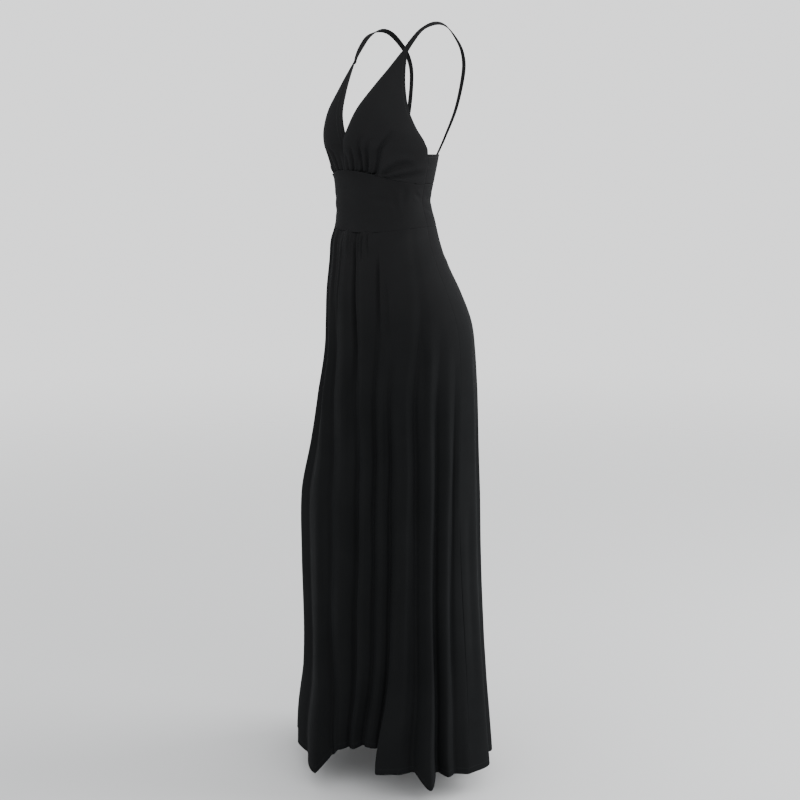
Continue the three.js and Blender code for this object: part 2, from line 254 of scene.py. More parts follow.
# The same round the back, from the wearer's left side seam
BACK_FOLDS = table(FOLDS, [
    (100, 100, 100, 100, 99, -560, 0, -3, 0, -1428),
    (116, 117, 117, 115.9, 116, -470, 0, 1, 9, -1429),
    (129, 128.6, 130, 129.8, 128, -520, 0, -8, -14, -1426),
    (142, 142.7, 142, 140.3, 140, -450, 0, -2, 2, -1433),
    (154, 153, 153, 152.6, 151, -500, 0, -12, -22, -1424),
    (165, 165.5, 164, 162.6, 163, -430, 0, 1, 10, -1438),
    (176, 175.1, 175, 175, 174, -480, 0, -12, -20, -1428),
    (187, 188.2, 188, 186.7, 187, -440, 0, 2, 12, -1440),
    (198, 199.4, 200, 198.9, 199, -510, 0, -10, -18, -1428),
    (211, 210.5, 212, 213.4, 213, -460, 0, 0, 8, -1436),
    (224, 225.1, 225, 224.8, 226, -530, 0, -11, -22, -1426),
    (238, 237.4, 238, 239.1, 239, -480, 0, 1, 12, -1436),
    (250, 250.1, 249, 249.5, 251, -520, 0, -9, -16, -1426),
    (260, 260, 260, 260, 261, -560, 0, -8, -10, -1425),
])

# Small creases: each a soft trough along a line from one angle and height to another, with its half
# width and depth
FRONT_CREASES = table(CREASES, [
    (-72, -384, -73, -440, 3.6, 1.2),
    (-61, -384, -62, -468, 3.8, 1.4),
    (-51, -384, -52, -430, 3.2, 1.3),
    (-43, -384, -44, -500, 4, 1.6),
    (-35, -384, -36.5, -446, 3.4, 1.6),
    (-29, -384, -31, -520, 3.8, 1.8),
    (-22.5, -384, -23, -455, 3.2, 1.7),
    (-15.5, -384, -16, -560, 3.8, 2),
    (-4, -384, -11.5, -640, 3.6, 3),
    (4.5, -384, 6.5, -452, 2.8, 1.8),
    (8.6, -384, 9, -500, 2.8, 2.2),
    (12.3, -383, 12.2, -700, 4.4, 5.5),
    (17, -383, 17.6, -436, 2.6, 2),
    (21.7, -383, 21.8, -452, 2.8, 3),
    (27.9, -382, 28.6, -440, 2.8, 2.8),
    (38, -424, 31, -650, 4, 4),
    (43, -470, 38.5, -650, 4.5, 1.6),
    (-43, -560, -45, -960, 7, 1.8),
    (-35, -740, -34, -1180, 6.5, 1.9),
    (-23.5, -660, -11, -930, 6.5, 1.8),
    (3, -900, 0.5, -1200, 6, 1.8),
    (9, -650, 24, -905, 6, 1.8),
    (17.5, -640, 31, -900, 6, 1.7),
    (25.5, -1120, 17, -1360, 6, 1.6),
    (37, -905, 31.5, -1210, 6, 2),
    (41, -700, 47.5, -930, 6.5, 1.8),
    (53, -700, 58, -930, 7, 2),
    (58.5, -960, 47, -1380, 6.5, 2),
    (64, -900, 57, -1390, 7, 2.1),
    (66, -560, 71, -860, 8, 2),
    (79, -900, 75, -1400, 7, 2.2),
    (92, -860, 87, -1390, 7, 2),
    (-56, -470, -59, -780, 8, 1.8),
    (-74, -560, -76, -920, 9, 1.8),
    (-84, -900, -84, -1390, 8, 2),
    (-64, -960, -65, -1400, 8, 2.1),
])

BACK_CREASES = table(CREASES, [
    (122, -620, 123, -1010, 9, 2),
    (110, -900, 107, -1360, 9, 2.4),
    (136, -700, 134, -1220, 8, 2),
    (147, -560, 146, -820, 8, 1.8),
    (158, -900, 157, -1350, 7, 2.4),
    (170, -620, 169, -980, 8, 2),
    (182, -820, 181, -1300, 8, 2.2),
    (193, -560, 194, -860, 8, 1.8),
    (205, -760, 206, -1240, 8, 2.2),
    (218, -600, 219, -900, 8, 1.8),
    (231, -840, 232, -1330, 8, 2.4),
    (244, -640, 244, -1060, 8, 2),
])

MIDRIFF_CREASES = table(CREASES, [
    (58, -304, 62, -362, 5, 0.9),
    (72, -298, 70, -340, 6, 0.8),
    (30, -322, 78, -330, 5, 0.7),
    (-24, -318, -74, -327, 5, 0.7),
    (-60, -300, -64, -358, 5, 0.8),
    (-8, -300, 14, -306, 5, 0.5),
    (12, -352, 52, -346, 5, 0.6),
    (-52, -345, -10, -352, 5, 0.6),
    (86, -312, 99, -322, 4, 0.9),
    (-86, -314, -99, -325, 4, 0.9),
])

MIDRIFF_BACK_CREASES = table(CREASES, [
    (104, -318, 150, -330, 5, 0.9),
    (101, -338, 134, -352, 4, 0.7),
    (256, -316, 214, -332, 5, 0.9),
    (258, -340, 226, -350, 4, 0.7),
    (160, -308, 204, -312, 6, 0.7),
    (168, -344, 198, -341, 6, 0.6),
])

BODICE_BACK_CREASES = table(CREASES, [
    (101, -262, 128, -252, 4, 0.9),
    (259, -264, 233, -252, 4, 0.9),
    (140, -276, 176, -270, 5, 0.6),
    (222, -278, 190, -271, 5, 0.6),
    (150, -242, 146, -272, 4, 0.8),
    (210, -242, 214, -272, 4, 0.8),
])

# Left strap: centre line from behind the cup's top to inside the back panel, and the way it faces; how far
# it faces outwards differs a little between the left strap and the right one
STRAP = table("x y z left right ny nz", [
    (80.9, -65.5, -64.5, 0.4, 0.4, -0.81, 0.44),
    (83.1, -62.6, -55.2, 0.34, 0.18, -0.82, 0.46),
    (87, -49, -34, 0.26, -0.2, -0.77, 0.6),
    (91, -28, -11, 0.15, -0.2, -0.56, 0.8),
    (94, 0, 1, 0.46, 0.38, 0, 0.88),
    (94, 25, -3, 0.52, 0.42, 0.35, 0.8),
    (92, 50, -25, 0.3, 0.3, 0.75, 0.58),
    (90, 66, -50, 0.15, 0.15, 0.92, 0.35),
    (87, 71, -85, 0.05, 0.05, 1, 0.05),
    (80, 60, -150, 0.15, 0.15, 1, -0.2),
    (72, 40, -205, 0.3, 0.3, 1, -0.3),
    (67, 25.6, -237.8, 0.35, 0.35, 0.93, -0.3),
    (65.6, 22.2, -247, 0.35, 0.35, 0.93, -0.3),
])


def ease(t):
    """Smooth step: nought below 0, one above 1, level at both ends."""
    u = np.clip(t, 0.0, 1.0)
    return u * u * (3 - 2 * u)


def mix(a, b, t):
    """Straight reading from a to b, t of the way."""
    return a + (b - a) * t


def between(column, i, u):
    """Catmull-Rom reading of a column between its rows i and i + 1, u of the way. The column may hold one
    number a row or one grid a row."""
    last = len(column) - 1

    def at(k):
        k = np.clip(k, 0, last)
        return column[k] if column.ndim == 1 else np.take_along_axis(column, k[None], 0)[0]

    p0, p1, p2, p3 = (at(i + k) for k in (-1, 0, 1, 2))
    m1, m2 = (p2 - p0) / 2, (p3 - p1) / 2
    u2, u3 = u * u, u * u * u
    return (2 * u3 - 3 * u2 + 1) * p1 + (u3 - 2 * u2 + u) * m1 + (3 * u2 - 2 * u3) * p2 + (u3 - u2) * m2


def along(rows, key, t):
    """Smooth reading of a column whose rows are evenly spaced along t = 0..1."""
    column = rows[key]
    f = np.clip(t, 0.0, 1.0) * (len(column) - 1)
    i = np.minimum(np.floor(f).astype(int), len(column) - 2)
    return between(column, i, f - i)


def section(key, z):
    """Smooth reading of the sections at height z."""
    heights = SECTIONS["z"]
    i = np.clip(np.searchsorted(heights, z) - 1, 0, len(heights) - 2)
    u = np.clip((z - heights[i]) / (heights[i + 1] - heights[i]), 0.0, 1.0)
    return between(SECTIONS[key], i, u)


def ring(angle, z, out=0.0):
    """Point of the elliptical section at height z and angle (radians), moved out square to it."""
    half, depth = section("half", z), section("depth", z)
    s, c = np.sin(angle), np.cos(angle)
    slant = np.hypot(s / half, c / depth)
    x = half * s + out * s / half / slant
    y = section("centre", z) - depth * c - out * c / depth / slant
    return np.stack([x, y, z + 0 * x], -1)


def underbust(angle):
    """Height of the seam under the bust: higher at centre front, level from the sides round the back."""
    return mix(UNDERBUST_SIDE, UNDERBUST_FRONT, np.maximum(0, np.cos(angle)) ** 2)


def waist(angle):
    """Height of the waist seam: it dips a little at the front."""
    return WAIST_SIDE - WAIST_DIP * np.maximum(0, np.cos(angle - math.radians(15))) ** 2


def face_out(points):
    """Unit normals of a grid: the cross product of its steps down and across."""
    across = np.gradient(points, axis=1)
    down = np.gradient(points, axis=0)
    normal = np.cross(down, across)
    return normal / np.maximum(np.linalg.norm(normal, axis=-1, keepdims=True), 1e-9)


def travel(points, axis):
    """Distance walked along a grid's rows (axis 1) or columns (axis 0), in millimetres."""
    step = np.linalg.norm(np.diff(points, axis=axis), axis=-1)
    start = np.zeros_like(np.take(step, [0], axis))
    return np.cumsum(np.concatenate([start, step], axis), axis)


def inward(edge):
    """Level unit vectors from the points of an edge towards the middle of the body."""
    way = np.zeros_like(edge)
    way[..., :2] = np.array([0.0, section("centre", edge[..., 2]).mean()]) - edge[..., :2]
    return way / np.linalg.norm(way, axis=-1, keepdims=True)


def tucked(points, at_top):
    """The grid with one more row at its top or its foot that runs on behind the neighbouring piece."""
    edge = points[:1] if at_top else points[-1:]
    row = edge + inward(edge) * TUCK_IN + np.array([0.0, 0.0, TUCK_ON if at_top else -TUCK_ON])
    return np.concatenate([row, points] if at_top else [points, row])


def lapped(points):
    """The grid with one more column at each side that runs on behind the neighbouring piece."""
    sides = []
    for edge, inner in ((points[:, :1], points[:, 7:8]), (points[:, -1:], points[:, -8:-7])):
        run = edge - inner
        run = run / np.linalg.norm(run, axis=-1, keepdims=True)
        sides.append(edge + inward(edge) * TUCK_IN + run * TUCK_ON)
    return np.concatenate([sides[0], points, sides[1]], 1)


def stations(count, length):
    """Parameters 0..1 for a strip of cloth, closer together over the last few millimetres at both ends."""
    near = np.array([0.0, 0.35, 0.8, 1.4, 2.2, 3.2]) / length
    inner = np.linspace(near[-1], 1 - near[-1], count)[1:-1]
    return np.concatenate([near, inner, 1 - near[::-1]])


def turned(distance, wide, depth):
    """How far the cloth turns in near an edge: all the depth at the edge, less with the square of the
    distance left to the full width."""
    return -depth * (1 - np.clip(distance / wide, 0, 1)) ** 2


def edge_push(sizes, free, *seams):
    """How far the cloth moves in along its free edges and its seams. Each seam comes as the distances from
    it and its share of the seam turn."""
    push = turned(free, EDGE_BEND, sizes.edge_turn * MM)
    for distance, share in seams:
        push = push + turned(distance, SEAM_BEND, sizes.seam_turn * share * MM)
    return push


def crease_depth(creases, angle, z, radius):
    """Sum of soft troughs in the unrolled cloth: a bell across each line, less a low ridge on both sides of
    it, times a hump along it."""
    total = np.zeros_like(z)
    across = np.degrees(angle)
    scale = math.pi / 180 * radius
    for a0, z0, a1, z1, wide, deep in zip(*creases.values()):
        run = np.array([(a1 - a0) * scale, z1 - z0])
        dx, dz = (across - a0) * scale, z - z0
        t = (dx * run[0] + dz * run[1]) / (run @ run)
        side = np.hypot(dx - t * run[0], dz - t * run[1]) * np.sign(dx * run[1] - dz * run[0])
        hump = ease(np.clip(t, 0, 1) / 0.22 + 0.25) * ease((1 - t) / 0.6) * (t > -0.03)
        bell = np.exp(-(side / wide) ** 2) - 0.45 * np.exp(-((np.abs(side) - 2.1 * wide) / wide) ** 2)
        total += deep * hump * bell
    return total


def gather_depth(gathers, u, v):
    """Sum of the gathers on a cup: each a bell across a line that runs up from the lower edge, widens and
    dies out at its tip. All fade out at the centre-front seam."""
    total = np.zeros_like(u)
    for base, mid, tip, row, depth, wide in zip(*gathers.values()):
        t = np.clip((1 - v) / (1 - row), 0, 1)
        line = base * (1 - t) * (1 - 2 * t) + mid * 4 * t * (1 - t) + tip * t * (2 * t - 1)
        fade = (1 - t ** 4) * (1 - 0.25 * t)
        total += depth * fade * np.exp(-((u - line) / mix(wide, 1.9 * wide, t)) ** 2)
    return total * ease(u / GATHER_FREE)


def sweep_depth(sweeps, u, v):
    """Sum of the folds that run across a cup: each a trough with a ridge above it, about a parabola of
    places down the cup, with a soft start and end."""
    total = np.zeros_like(u)
    for a, b, down, mid, end, wide, deep in zip(*sweeps.values()):
        t = (u - a) / (b - a)
        line = down * (1 - t) * (1 - 2 * t) + mid * 4 * t * (1 - t) + end * t * (2 * t - 1)
        slope = (down * (4 * t - 3) + mid * (4 - 8 * t) + end * (4 * t - 1)) / (b - a)
        slope = slope * CUP_TALL / CUP_WIDE
        side = (v - line) * CUP_TALL / np.sqrt(1 + slope * slope) / wide
        hump = ease(t / 0.25) * ease((1 - t) / 0.45)
        total += deep * hump * (np.exp(-side ** 2) - 0.5 * np.exp(-(side + 1.9) ** 2))
    return total


def cup_points(u, v, gathers, sweeps):
    """Left cup: a cubic curve from neck edge to armhole on each row, leaving and meeting them at the table's
    angles, drawn on to the seam under the bust over the last rows, less the gathers and sweeping folds."""
    at = {key: along(CUP, key, v) for key in CUP}
    lap = CENTRE_LAP * ease((v - LAP_FROM) / LAP_RUN)
    neck = np.stack([np.maximum(at["nx"], SEAM_GAP / 2) - lap, at["ny"], at["nz"]], -1)
    arm = np.stack([at["ax"], at["ay"], at["az"]], -1)
    span = np.linalg.norm(arm - neck, axis=-1)[..., None] * CUP_SWELL
    leave, meet = np.radians(at["leave"]), np.radians(at["meet"])
    nought = 0 * leave
    start = np.stack([np.cos(leave), -np.sin(leave), nought], -1) * span
    end = np.stack([np.cos(meet), np.sin(meet), nought], -1) * span
    w = u[..., None]
    w2, w3 = w * w, w * w * w
    points = neck * (2 * w3 - 3 * w2 + 1) + start * (w3 - 2 * w2 + w)
    points = points + arm * (3 * w2 - 2 * w3) + end * (w3 - w2)
    inset = SEAM_GAP / 2 / SEAM_RADIUS
    angle = mix(inset, math.radians(SIDE_SEAM) - inset, u)
    seam = ring(angle, underbust(angle) + SEAM_GAP / 2)
    points = mix(points, seam, ease((v - CUP_LOWER) / (1 - CUP_LOWER))[..., None])
    way_in = np.stack([-np.sin(angle), np.cos(angle), nought], -1)
    return points + way_in * (gather_depth(gathers, u, v) + sweep_depth(sweeps, u, v))[..., None]


def band_points(u, v, start, stop, top, bottom):
    """Strip of the trunk between two angles and two heights that depend on the angle."""
    inset = SEAM_GAP / 2 / SEAM_RADIUS
    angle = mix(math.radians(start) + inset, math.radians(stop) - inset, u)
    return ring(angle, mix(top(angle) - SEAM_GAP / 2, bottom(angle) + SEAM_GAP / 2, v)), angle


def skirt_points(folds, f, v):
    """Skirt: f runs along the fold table and v from waist to hem. Each ridge and trough drifts round
    from its waist angle to its hem angle, grows from its start height, and eases into the next."""
    i = np.minimum(np.floor(f).astype(int), len(folds["waist"]) - 2)
    u = f - i
    blend = ease(u)

    def read(key, w):
        return mix(folds[key][i], folds[key][i + 1], w)

    top = waist(np.radians(read("waist", u))) - SEAM_GAP / 2
    z = mix(top, read("edge", blend), v)
    angles = np.stack([read(key, u) for key in ("waist", "hip", "knee", "shin", "low")])
    t = np.clip((FOLD_TOP - z) / (FOLD_TOP - FOLD_HEM), 0, 1) * 4
    k = np.minimum(np.floor(t).astype(int), 3)
    turn = np.radians(between(angles, k, t - k))
    fall = np.maximum(FLARE_TOP - z, 0) / (FLARE_TOP - FOLD_HEM)

    def grow(k):
        g = ease((folds["start"][k] - z) / (folds["start"][k] - FOLD_FULL))
        upper = mix(folds["rise"][k], folds["out"][k], g)
        return upper + (folds["hem"][k] - folds["out"][k]) * fall ** FLARE_POWER

    return ring(turn, z, mix(grow(i), grow(i + 1), blend)), turn


def valley_depth(folds, f, z):
    """Narrow creases along the foot of the deeper troughs, each growing down from where its fold starts."""
    total = np.zeros_like(z)
    for i in np.nonzero(folds["out"] < VALLEY_FROM)[0]:
        if 0 < i < len(folds["out"]) - 1:
            grown = ease((folds["start"][i] - VALLEY_DROP - z) / VALLEY_GROW)
            total -= folds["out"][i] * VALLEY_SHARE * grown * np.exp(-((f - i) / VALLEY_WIDE) ** 2)
    return total


def mesh_object(name, points, closed=False):
    """Mesh of a grid of points in millimetres, with a UV map in metres of cloth. A closed grid also joins
    its last column to its first."""
    n, m = points.shape[:2]
    width = travel(points, 1)
    width = width - width[:, -1:] / 2
    uv = np.stack([width, -travel(points, 0)], -1) / MM
    ids = np.arange(n * m).reshape(n, m)
    quads = np.stack([ids[:-1, :-1], ids[1:, :-1], ids[1:, 1:], ids[:-1, 1:]], -1).reshape(-1, 4)
    if closed:
        wrap = np.stack([ids[:-1, -1], ids[1:, -1], ids[1:, 0], ids[:-1, 0]], -1)
        quads = np.concatenate([quads, wrap])
    mesh = bpy.data.meshes.new(name)
    mesh.from_pydata((points.reshape(-1, 3) / MM).tolist(), [], quads.tolist())
    layer = mesh.uv_layers.new(name="cloth")
    corner = np.empty(len(mesh.loops), dtype=np.int32)
    mesh.loops.foreach_get("vertex_index", corner)
    layer.data.foreach_set("uv", uv.reshape(-1, 2)[corner].astype(np.float32).ravel())
    mesh.polygons.foreach_set("use_smooth", np.ones(len(mesh.polygons), dtype=bool))
    piece = bpy.data.objects.new(name, mesh)
    bpy.context.scene.collection.objects.link(piece)
    return piece


def vertex_values(piece, name, values):
    """Stores one number for each vertex, for the material to read."""
    attribute = piece.data.attributes.new(name, "FLOAT", "POINT")
    attribute.data.foreach_set("value", values.astype(np.float32).ravel())


def cloth(name, points, node, slot, material, thick, stitched):
    """A thin shell of cloth on a grid of points that stands for a CAD node. stitched is the distance
    in millimetres of each point from a turned and sewn edge."""
    piece = mesh_object(name, points)
    vertex_values(piece, "edge", stitched / MM)
    wall = piece.modifiers.new("thickness", "SOLIDIFY")
    wall.thickness = thick
    wall.offset = -1
    piece.data.materials.append(material)
    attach(piece, "root")
    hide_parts(node)
    return piece


def mirrored(points):
    """The same grid for the wearer's right, its columns turned round so that its faces still point out."""
    return (points * np.array([-1.0, 1.0, 1.0]))[:, ::-1]


def node(tree, kind, values=None, **settings):
    """Adds a shader node, sets its properties and the values of its input sockets."""
    made = tree.nodes.new(kind)
    for key, value in settings.items():
        setattr(made, key, value)
    for key, value in (values or {}).items():
        made.inputs[key].default_value = value
    return made


def join(tree, rows):
    """Links sockets: each row names a node, its output, another node and its input."""
    for giver, given, taker, taken in rows:
        tree.links.new(giver.outputs[given], taker.inputs[taken])


def new_group(name, sockets):
    """A new shader node group with the named inputs and outputs, and its two end nodes."""
    tree = bpy.data.node_groups.new(name, "ShaderNodeTree")
    for label, way, kind in sockets:
        tree.interface.new_socket(label, in_out=way, socket_type="NodeSocket" + kind)
    return tree, tree.nodes.new("NodeGroupInput"), tree.nodes.new("NodeGroupOutput")


def crepe_group():
    """Fine pebbled crepe: small hills of noise broken by a fine twisted-yarn grain, and a slow change of
    tone."""
    name = "crepe grain"
    if name in bpy.data.node_groups:
        return bpy.data.node_groups[name]
    tree, enter, leave = new_group(name, [
        ("Cloth", "INPUT", "Vector"),
        ("Grain per metre", "INPUT", "Float"),
        ("Height", "OUTPUT", "Float"),
        ("Tone", "OUTPUT", "Float"),
    ])
    pebble = node(tree, "ShaderNodeTexNoise", {"Detail": 3.0, "Roughness": 0.6, "Distortion": 0.4})
    stretch = node(tree, "ShaderNodeVectorMath", {1: (1.0, 0.45, 1.0)}, operation="MULTIPLY")
    yarn = node(tree, "ShaderNodeTexNoise", {"Detail": 1.0, "Roughness": 0.5})
    finer = node(tree, "ShaderNodeMath", {1: 1.8}, operation="MULTIPLY")
    join(tree, [
        (enter, "Cloth", pebble, "Vector"),
        (enter, "Grain per metre", pebble, "Scale"),
        (enter, "Cloth", stretch, 0),
        (stretch, 0, yarn, "Vector"),
        (enter, "Grain per metre", finer, 0),
        (finer, 0, yarn, "Scale"),
    ])
    height = node(tree, "ShaderNodeMix", {"Factor": 0.4}, data_type="FLOAT")
    join(tree, [
        (pebble, "Fac", height, "A"),
        (yarn, "Fac", height, "B"),
        (height, "Result", leave, "Height"),
    ])
    slow = node(tree, "ShaderNodeTexNoise", {"Scale": 9.0, "Detail": 3.0, "Roughness": 0.55})
    mixed = node(tree, "ShaderNodeMix", {"Factor": 0.45}, data_type="FLOAT")
    join(tree, [
        (enter, "Cloth", slow, "Vector"),
        (slow, "Fac", mixed, "A"),
        (pebble, "Fac", mixed, "B"),
        (mixed, "Result", leave, "Tone"),
    ])
    return tree


def stitch_group():
    """Row of stitches: a dash every few millimetres where the stored distance from a sewn edge has one
    value."""
    name = "edge stitches"
    if name in bpy.data.node_groups:
        return bpy.data.node_groups[name]
    tree, enter, leave = new_group(name, [
        ("Edge", "INPUT", "Float"),
        ("Run", "INPUT", "Float"),
        ("From edge", "INPUT", "Float"),
        ("Stitch", "OUTPUT", "Float"),
    ])
    away = node(tree, "ShaderNodeMath", operation="SUBTRACT")
    size = node(tree, "ShaderNodeMath", operation="ABSOLUTE")
    line = node(tree, "ShaderNodeMapRange", {"From Min": 0.0005, "From Max": 0.0002})
    count = node(tree, "ShaderNodeMath", {1: 0.003}, operation="DIVIDE")
    part = node(tree, "ShaderNodeMath", operation="FRACT")
    dash = node(tree, "ShaderNodeMapRange", {"From Min": 0.82, "From Max": 0.7})
    both = node(tree, "ShaderNodeMath", operation="MULTIPLY")
    join(tree, [
        (enter, "Edge", away, 0),
        (enter, "From edge", away, 1),
        (away, 0, size, 0),
        (size, 0, line, "Value"),
        (enter, "Run", count, 0),
        (count, 0, part, 0),
        (part, 0, dash, "Value"),
        (line, 0, both, 0),
        (dash, 0, both, 1),
        (both, 0, leave, "Stitch"),
    ])
    return tree


def cloth_material(name, colours, painted_light_scale, from_edge, along_rows, painted_shade_below=None):
    """Black crepe: base colour between two tones, roughness and bump from the grain, and stitches near sewn
    edges, which run along the rows of the cloth or across them. Both tones are scaled by a factor for each
    piece, which is painted light. Where a colour is given for below, the colour passes over to it from the
    waist down to the thighs: painted shade that darkens the lower skirt and cools it a little."""
    if name in bpy.data.materials:
        return bpy.data.materials[name]
    made = bpy.data.materials.new(name)
    made.use_nodes = True
    tree = made.node_tree
    tree.nodes.clear()
    surface = node(tree, "ShaderNodeBsdfPrincipled", {
        "Metallic": 0.0,
        "Sheen Weight": colours.sheen,
        "Sheen Roughness": 0.45,
        "Sheen Tint": (*colours.sheen_tint, 1.0),
        "Specular IOR Level": 0.025,
    })
    out = tree.nodes.new("ShaderNodeOutputMaterial")
    join(tree, [(surface, "BSDF", out, "Surface")])
    uv = node(tree, "ShaderNodeUVMap", uv_map="cloth")
    crepe = node(tree, "ShaderNodeGroup", node_tree=crepe_group())
    crepe.inputs["Grain per metre"].default_value = colours.grain
    join(tree, [(uv, "UV", crepe, "Cloth")])
    edge = node(tree, "ShaderNodeAttribute", attribute_name="edge")
    split = tree.nodes.new("ShaderNodeSeparateXYZ")
    join(tree, [(uv, "UV", split, 0)])
    stitches = node(tree, "ShaderNodeGroup", node_tree=stitch_group())
    stitches.inputs["From edge"].default_value = from_edge
    join(tree, [
        (edge, "Fac", stitches, "Edge"),
        (split, "Y" if along_rows else "X", stitches, "Run"),
    ])
    # painted light: both tones are scaled for each piece, lighter on the bodice pieces and straps and darker
    # on the skirt, as though lit more or less
    dark, light = np.array(colours.shade) * painted_light_scale, np.array(colours.cloth) * painted_light_scale
    tone = node(tree, "ShaderNodeMix", {"A": (*dark, 1.0), "B": (*light, 1.0)}, data_type="RGBA")
    spread = node(tree, "ShaderNodeMapRange", {"From Min": 0.3, "From Max": 0.7})
    join(tree, [
        (crepe, "Tone", spread, "Value"),
        (spread, 0, tone, "Factor"),
    ])
    thread = node(tree, "ShaderNodeMix", {"B": (*np.array(colours.cloth) * 1.8, 1.0)}, data_type="RGBA")
    join(tree, [
        (tone, "Result", thread, "A"),
        (stitches, "Stitch", thread, "Factor"),
    ])
    colour = thread
    # painted shade: the colour darkens, and turns a little cooler, from the waist down to the thighs, as if
    # less light reached the lower skirt
    if painted_shade_below is not None:
        place = tree.nodes.new("ShaderNodeTexCoord")
        height = tree.nodes.new("ShaderNodeSeparateXYZ")
        join(tree, [(place, "Object", height, 0)])
        high = node(tree, "ShaderNodeMapRange", {"From Min": -0.72, "From Max": -0.39},
                    interpolation_type="SMOOTHSTEP")
        join(tree, [(height, "Z", high, "Value")])
        share = node(tree, "ShaderNodeMix", {"A": (*painted_shade_below, 1.0), "B": (1.0, 1.0, 1.0, 1.0)},
                     data_type="RGBA")
        join(tree, [(high, 0, share, "Factor")])
        painted_shade_mix = node(tree, "ShaderNodeMix", {"Factor": 1.0}, data_type="RGBA", blend_type="MULTIPLY")
        join(tree, [
            (colour, "Result", painted_shade_mix, "A"),
            (share, "Result", painted_shade_mix, "B"),
        ])
        colour = painted_shade_mix
    join(tree, [(colour, "Result", surface, "Base Color")])
    rough = node(tree, "ShaderNodeMapRange", {
        "From Min": 0.3,
        "From Max": 0.7,
        "To Min": 0.92,
        "To Max": 0.78,
    })
    join(tree, [
        (crepe, "Tone", rough, "Value"),
        (rough, 0, surface, "Roughness"),
    ])
    raised = node(tree, "ShaderNodeMath", {1: 1.6}, operation="MULTIPLY_ADD")
    join(tree, [
        (stitches, "Stitch", raised, 0),
        (crepe, "Height", raised, 2),
    ])
    bump = node(tree, "ShaderNodeBump", {"Strength": 0.5, "Distance": 0.0004})
    join(tree, [
        (raised, 0, bump, "Height"),
        (bump, "Normal", surface, "Normal"),
    ])
    return made


class DressSizes(bpy.types.PropertyGroup):
    """Sizes that a user would change"""
    cloth_thick: bpy.props.FloatProperty(
        name="Cloth thickness", description="Thickness of the crepe", default=0.0012, min=0.0004, max=0.003,
        unit="LENGTH", precision=4)
    seam_turn: bpy.props.FloatProperty(
        name="Seam turn", description="How far the cloth turns in where two pieces are sewn together",
        default=0.0011, min=0, max=0.003, unit="LENGTH", precision=4)
    edge_turn: bpy.props.FloatProperty(
        name="Edge turn", description="How far a free edge rounds in", default=0.0006, min=0, max=0.003,
        unit="LENGTH", precision=4)
    crease_depth: bpy.props.FloatProperty(
        name="Crease depth", description="Depth of the small creases, as a share of the table's", default=1.0,
        min=0, max=2, subtype="FACTOR")
    strap_front: bpy.props.FloatProperty(
        name="Strap width in front", description="Width of a strap where it leaves the cup", default=0.014,
        min=0.006, max=0.03, unit="LENGTH", precision=4)
    strap_back: bpy.props.FloatProperty(
        name="Strap width at the back", description="Width of a strap at the back panel", default=0.011,
        min=0.006, max=0.03, unit="LENGTH", precision=4)
    strap_thick: bpy.props.FloatProperty(
        name="Strap thickness", description="Thickness of the doubled strap", default=0.002, min=0.001,
        max=0.004, unit="LENGTH", precision=4)
    floor_drop: bpy.props.FloatProperty(
        name="Floor below hem", description="How far the lowest point of the hem hangs above the floor",
        default=0.035, min=0, max=0.3, unit="LENGTH")


class DressColours(bpy.types.PropertyGroup):
    """Colours and finish that a user would change"""
    cloth: bpy.props.FloatVectorProperty(
        name="Cloth", description="Lighter tone of the black crepe", subtype="COLOR", size=3, min=0, max=1,
        default=(0.0116, 0.0117, 0.0122))
    shade: bpy.props.FloatVectorProperty(
        name="Cloth, darker tone", description="Darker tone of the black crepe", subtype="COLOR", size=3,
        min=0, max=1, default=(0.009, 0.0091, 0.0095))
    sheen: bpy.props.FloatProperty(
        name="Sheen", description="Soft light caught by the fibres at glancing angles", default=0.005, min=0,
        max=1, subtype="FACTOR")
    sheen_tint: bpy.props.FloatVectorProperty(
        name="Sheen tint", description="Colour of the sheen", subtype="COLOR", size=3, min=0, max=1,
        default=(0.75, 0.85, 1.0))
    grain: bpy.props.FloatProperty(
        name="Grain per metre", description="How many pebbles of crepe there are in a metre", default=900,
        min=100, max=4000)
    floor: bpy.props.FloatVectorProperty(
        name="Floor", description="Colour of the floor", subtype="COLOR", size=3, min=0, max=1,
        default=(0.6, 0.605, 0.61))
    backdrop: bpy.props.FloatVectorProperty(
        name="Studio light", description="Colour of the light all round", subtype="COLOR", size=3, min=0,
        max=4, default=(1.52, 1.53, 1.54))


def settings():
    """The scene's sizes and colours."""
    scene = bpy.context.scene
    return scene.dress_sizes, scene.dress_colours


class DRESS_OT_cups(bpy.types.Operator):
    """Adds the two gathered cups"""
    bl_idname = "dress.cups"
    bl_label = "Cups"

    def execute(self, context):
        sizes, colours = settings()
        grid_u, grid_v = np.meshgrid(stations(230, 200.0), stations(150, CUP_TALL))
        for name, gathers, sweeps in (("cup_left", LEFT_GATHERS, LEFT_SWEEPS),
                                      ("cup_right", RIGHT_GATHERS, RIGHT_SWEEPS)):
            points = cup_points(grid_u, grid_v, gathers, sweeps)
            across, down = travel(points, 1), travel(points, 0)
            inner, outer, under = across, across[:, -1:] - across, down[-1:] - down
            free = np.minimum(inner + FAR * (grid_v > CENTRE_ROW), outer + FAR * (grid_v > SIDE_ROW))
            sewn = np.minimum(np.minimum(inner, outer) + FAR * (grid_v < CENTRE_ROW), under)
            push = edge_push(sizes, free, (sewn, 0.6))
            points = tucked(points + face_out(points) * push[..., None], False)
            free = np.concatenate([free, free[-1:]])
            if name == "cup_right":
                points, free = mirrored(points), free[:, ::-1]
            material = cloth_material("crepe, bodice", colours, 1.1, 0.006, True)
            piece = cloth(name + "_cloth", points, name, "bodice_cloth", material, sizes.cloth_thick, free)
        return {"FINISHED"}


